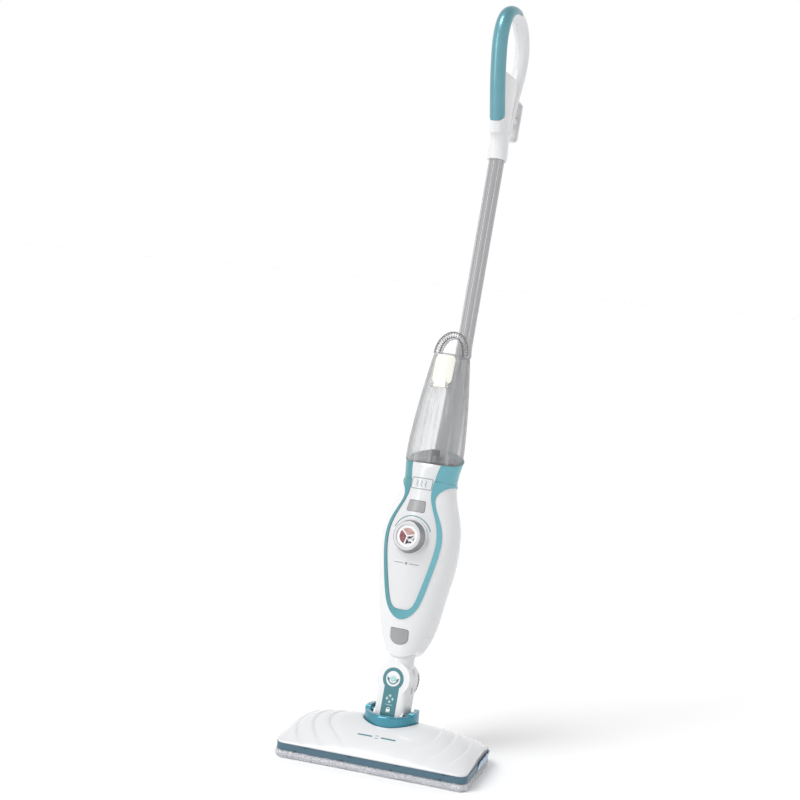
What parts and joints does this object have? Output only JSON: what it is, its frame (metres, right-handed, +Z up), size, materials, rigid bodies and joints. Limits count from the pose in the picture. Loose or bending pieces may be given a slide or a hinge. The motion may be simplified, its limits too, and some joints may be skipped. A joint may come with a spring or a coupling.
{
  "type": "steam mop",
  "caption": "Upright steam mop with a swivelling pad head, tilting body, steam dial, lift-off clear tank with filler cap, metal pole and loop handle with cord hook.",
  "frame": {"origin": "on the floor, straight under the tilt axle", "axes": "+Z up, -Y ahead of the mop, +X across the head"},
  "size_m": [0.3052, 0.3915, 1.1756],
  "materials": {
    "badge_frame": "printed grey",
    "base_plate": "slate blue paint on a cast sole",
    "boiler": "cast",
    "cap_pin": "zinc plated",
    "catch_spring": "zinc plated",
    "circuit_board": "laminate",
    "cord_gland": "soft grey",
    "detent_cheeks": "moulded",
    "dial_bezel": "satin silver paint",
    "dial_face": "gloss",
    "feed_hose": "silicone",
    "front_panel": "gloss pale grey",
    "grip_insert": "pearl teal",
    "handle_left": "gloss white",
    "handle_right": "gloss white",
    "handle_screws": "zinc plated",
    "head_cover": "gloss white",
    "head_screws": "zinc plated",
    "hook_boss": "light grey",
    "hook_strips": "hook tape",
    "housing_front": "gloss white",
    "housing_rear": "gloss white",
    "housing_screws": "zinc plated",
    "hub_retainer": "moulded",
    "inner_frame": "moulded",
    "lower_hook": "light grey",
    "mop_pad": "looped microfibre pile",
    "neck_badge": "gloss white",
    "neck_front": "gloss white",
    "neck_inlay": "gloss teal",
    "neck_rear": "gloss white",
    "neck_screws": "zinc plated",
    "pad_cuffs": "soft edge binding",
    "pole": "satin anodised",
    "pole_catch": "satin grey",
    "pump": "moulded",
    "release_button": "satin grey",
    "rotary_switch": "moulded",
    "sector_stone": "stone pattern",
    "sector_tile": "red tile pattern",
    "sector_wood": "wood pattern",
    "spine": "pale grey",
    "steam_button": "satin grey",
    "steam_hose": "silicone",
    "steam_manifold": "cast",
    "swivel_ring": "metallic gloss",
    "tank_cap": "ivory",
    "tank_collar": "gloss teal",
    "tank_inlet": "moulded",
    "tank_seat": "moulded",
    "tank_shell": "clear smoky moulding",
    "tank_valve": "moulded",
    "thermostat": "moulded",
    "tilt_axles": "zinc plated",
    "trim_band": "gloss teal",
    "upper_hook": "light grey"
  },
  "bodies": {
    "head": {"mop_pad": "mop_pad", "pad_cuffs": "pad_cuffs", "base_plate": "base_plate", "hook_strips": "hook_strips", "head_screws": "head_screws", "steam_manifold": "steam_manifold", "head_cover": "head_cover"},
    "swivel": {"swivel_ring": "swivel_ring", "tilt_axles": "tilt_axles", "hub_retainer": "hub_retainer"},
    "dial": {"dial_bezel": "dial_bezel", "dial_face": "dial_face", "sector_wood": "sector_wood", "sector_tile": "sector_tile", "sector_stone": "sector_stone"},
    "steam_key": {"steam_button": "steam_button"},
    "release_key": {"release_button": "release_button"},
    "catch": {"pole_catch": "pole_catch"},
    "hook": {"upper_hook": "upper_hook"},
    "tank": {"tank_shell": "tank_shell", "cap_pin": "cap_pin", "tank_valve": "tank_valve"},
    "cap": {"tank_cap": "tank_cap"},
    "mop": {"badge_frame": "badge_frame", "boiler": "boiler", "catch_spring": "catch_spring", "circuit_board": "circuit_board", "cord_gland": "cord_gland", "detent_cheeks": "detent_cheeks", "feed_hose": "feed_hose", "front_panel": "front_panel", "grip_insert": "grip_insert", "handle_left": "handle_left", "handle_right": "handle_right", "handle_screws": "handle_screws", "hook_boss": "hook_boss", "housing_front": "housing_front", "housing_rear": "housing_rear", "housing_screws": "housing_screws", "inner_frame": "inner_frame", "lower_hook": "lower_hook", "neck_badge": "neck_badge", "neck_front": "neck_front", "neck_inlay": "neck_inlay", "neck_rear": "neck_rear", "neck_screws": "neck_screws", "pole": "pole", "pump": "pump", "rotary_switch": "rotary_switch", "spine": "spine", "steam_hose": "steam_hose", "tank_collar": "tank_collar", "tank_inlet": "tank_inlet", "tank_seat": "tank_seat", "thermostat": "thermostat", "trim_band": "trim_band"}
  },
  "joints": [
    {"name": "swivel_turn", "type": "hinge", "parent": "head", "child": "swivel", "pos_m": [0, 0, 0.04], "axis": [0, 0, 1], "range_deg": [-84, 96]},
    {"name": "mop_tilt", "type": "hinge", "parent": "swivel", "child": "mop", "pos_m": [0, 0, 0.062], "axis": [-0.9945, 0.1049, 0], "range_deg": [-12, 46]},
    {"name": "dial_turn", "type": "hinge", "parent": "mop", "child": "dial", "pos_m": [0.0007, 0.00669, 0.34376], "axis": [-0.102, -0.9728, 0.208], "range_deg": [-120, 120]},
    {"name": "steam_press", "type": "slide", "parent": "mop", "child": "steam_key", "axis": [0.102, 0.9728, -0.208], "range_m": [0, 0.0015], "stiffness_N_per_m": 400},
    {"name": "release_press", "type": "slide", "parent": "mop", "child": "release_key", "axis": [0.102, 0.9728, -0.208], "range_m": [0, 0.002], "stiffness_N_per_m": 400},
    {"name": "catch_press", "type": "slide", "parent": "mop", "child": "catch", "axis": [-0.102, -0.9728, 0.208], "range_m": [0, 0.002], "stiffness_N_per_m": 600},
    {"name": "hook_turn", "type": "hinge", "parent": "mop", "child": "hook", "pos_m": [0.02726, 0.25935, 1.00029], "axis": [0.102, 0.9728, -0.208], "range_deg": [0, 180]},
    {"name": "tank_lift", "type": "slide", "parent": "mop", "child": "tank", "axis": [0.022, 0.207, 0.9781], "range_m": [0, 0.08]},
    {"name": "cap_turn", "type": "hinge", "parent": "tank", "child": "cap", "pos_m": [0.00718, 0.06834, 0.57186], "axis": [0.9945, -0.1049, 0], "range_deg": [0, 100]}
  ]
}
